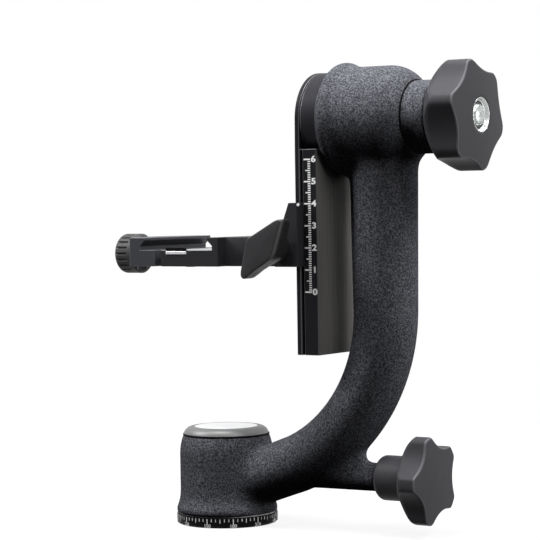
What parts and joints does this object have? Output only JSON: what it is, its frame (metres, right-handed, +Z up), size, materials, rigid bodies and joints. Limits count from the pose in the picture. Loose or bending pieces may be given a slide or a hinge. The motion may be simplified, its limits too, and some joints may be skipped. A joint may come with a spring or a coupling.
{
  "type": "gimbal tripod head",
  "caption": "Gimbal tripod head: a C-shaped cast arm that pans on its base, with a swinging rail and a sliding dovetail clamp platform, each with its lock knob.",
  "frame": {"origin": "on the pan axis, at the base's seat face, where the tripod screw enters", "axes": "+Z up along the pan axis; +X from the pan axis towards the arm's upright and its two lock knobs; the wing screw and the printed rail scale face -Y"},
  "size_m": [0.1978, 0.0731, 0.2154],
  "materials": {
    "crinkle_paint": "cast alloy under dark crinkle paint",
    "black_anodised": "black anodised, satin",
    "grey_anodised": "dark grey anodised, satin",
    "clamp_alloy": "machined alloy, anodised grey",
    "satin_alloy": "turned alloy, satin",
    "knob_plastic": "moulded, fine grain",
    "dial_plastic": "moulded ring with a printed scale",
    "silver_disc": "bright spun alloy",
    "steel": "ground and bright",
    "black_steel": "blackened steel",
    "brass": "turned",
    "glide_plastic": "slippery white sheet",
    "brake_plastic": "hard friction pad",
    "white_paint": "white mark"
  },
  "bodies": {
    "base": {"base_plate": "black_anodised", "base_screws": "black_steel", "tripod_bush": "steel", "dial_ring": "dial_plastic", "pan_spindle": "steel", "glide_washer": "glide_plastic", "pan_inner_rings": "steel", "pan_balls": "steel", "brake_sleeve": "steel", "spindle_washer": "steel", "spindle_nut": "steel"},
    "arm": {"c_arm": "crinkle_paint", "base_cap": "satin_alloy", "cap_disc": "silver_disc", "pan_outer_rings": "steel", "tilt_outer_rings": "steel", "hub_spacer": "steel", "hub_collar": "crinkle_paint", "tilt_lock_bush": "brass", "pan_lock_bush": "brass"},
    "pan_brake": {"pan_brake_pad": "brake_plastic"},
    "pan_knob": {"pan_knob_grip": "knob_plastic", "pan_lock_screw": "steel"},
    "tilt_brake": {"tilt_brake_pad": "brake_plastic"},
    "tilt_knob": {"tilt_knob_grip": "knob_plastic", "tilt_lock_screw": "steel", "tilt_knob_cap": "silver_disc"},
    "swing": {"swing_plate": "black_anodised", "swing_screws": "black_steel", "spindle_bolt": "black_steel", "tilt_flange": "black_anodised", "tilt_spindle": "steel", "tilt_inner_rings": "steel", "tilt_balls": "steel", "tilt_spacer": "steel", "tilt_washer": "steel", "tilt_nut": "steel"},
    "platform": {"platform_bracket": "grey_anodised", "stop_pin": "black_steel", "rail_jaw_pins": "steel", "plate_jaw_pins": "steel", "jaw_springs": "steel"},
    "rail_jaw": {"rail_jaw": "grey_anodised", "index_dot": "white_paint"},
    "wing": {"wing_grip": "knob_plastic", "wing_screw": "steel", "wing_washer": "steel"},
    "plate_jaw": {"plate_jaw": "clamp_alloy", "under_screws": "black_steel"},
    "plate_knob": {"plate_knob_grip": "grey_anodised", "plate_knob_screw": "steel", "plate_knob_washer": "steel"}
  },
  "joints": [
    {"name": "pan", "type": "hinge", "parent": "base", "child": "arm", "pos_m": [0, 0, 0.025], "axis": [0, 0, 1], "continuous": true},
    {"name": "pan_brake_slide", "type": "slide", "parent": "arm", "child": "pan_brake", "axis": [1, 0, 0], "range_m": [0, 0.00125]},
    {"name": "pan_knob_turn", "type": "hinge", "parent": "pan_brake", "child": "pan_knob", "pos_m": [0.1, 0, 0.026], "axis": [1, 0, 0], "range_deg": [0, 455]},
    {"name": "tilt_brake_slide", "type": "slide", "parent": "arm", "child": "tilt_brake", "axis": [1, 0, 0], "range_m": [0, 0.0016]},
    {"name": "tilt_knob_turn", "type": "hinge", "parent": "tilt_brake", "child": "tilt_knob", "pos_m": [0.13, 0, 0.1894], "axis": [1, 0, 0], "range_deg": [0, 450]},
    {"name": "tilt", "type": "hinge", "parent": "arm", "child": "swing", "pos_m": [0.085, 0, 0.1894], "axis": [1, 0, 0], "continuous": true},
    {"name": "height", "type": "slide", "parent": "swing", "child": "platform", "axis": [0, 0, 1], "range_m": [-0.04, 0.02]},
    {"name": "rail_jaw_slide", "type": "slide", "parent": "platform", "child": "rail_jaw", "axis": [0, -1, 0], "range_m": [0, 0.0021]},
    {"name": "wing_turn", "type": "hinge", "parent": "rail_jaw", "child": "wing", "pos_m": [0.0506, -0.045, 0.1316], "axis": [0, -1, 0], "range_deg": [0, 720]},
    {"name": "plate_jaw_slide", "type": "slide", "parent": "platform", "child": "plate_jaw", "axis": [-1, 0, 0], "range_m": [-0.0035, 0], "deforming": ["jaw_springs"]},
    {"name": "plate_knob_turn", "type": "hinge", "parent": "plate_jaw", "child": "plate_knob", "pos_m": [-0.047, 0, 0.1282], "axis": [-1, 0, 0], "range_deg": [-1750, 0]}
  ],
  "couplings": [
    {"joint": "pan_knob_turn", "follows": "pan_brake_slide", "rad_per_m": 6283.2},
    {"joint": "tilt_brake_slide", "follows": "tilt_knob_turn", "m_per_rad": 0.00019894},
    {"joint": "rail_jaw_slide", "follows": "wing_turn", "m_per_rad": 0.00015915},
    {"joint": "plate_jaw_slide", "follows": "plate_knob_turn", "m_per_rad": 0.00011141}
  ]
}
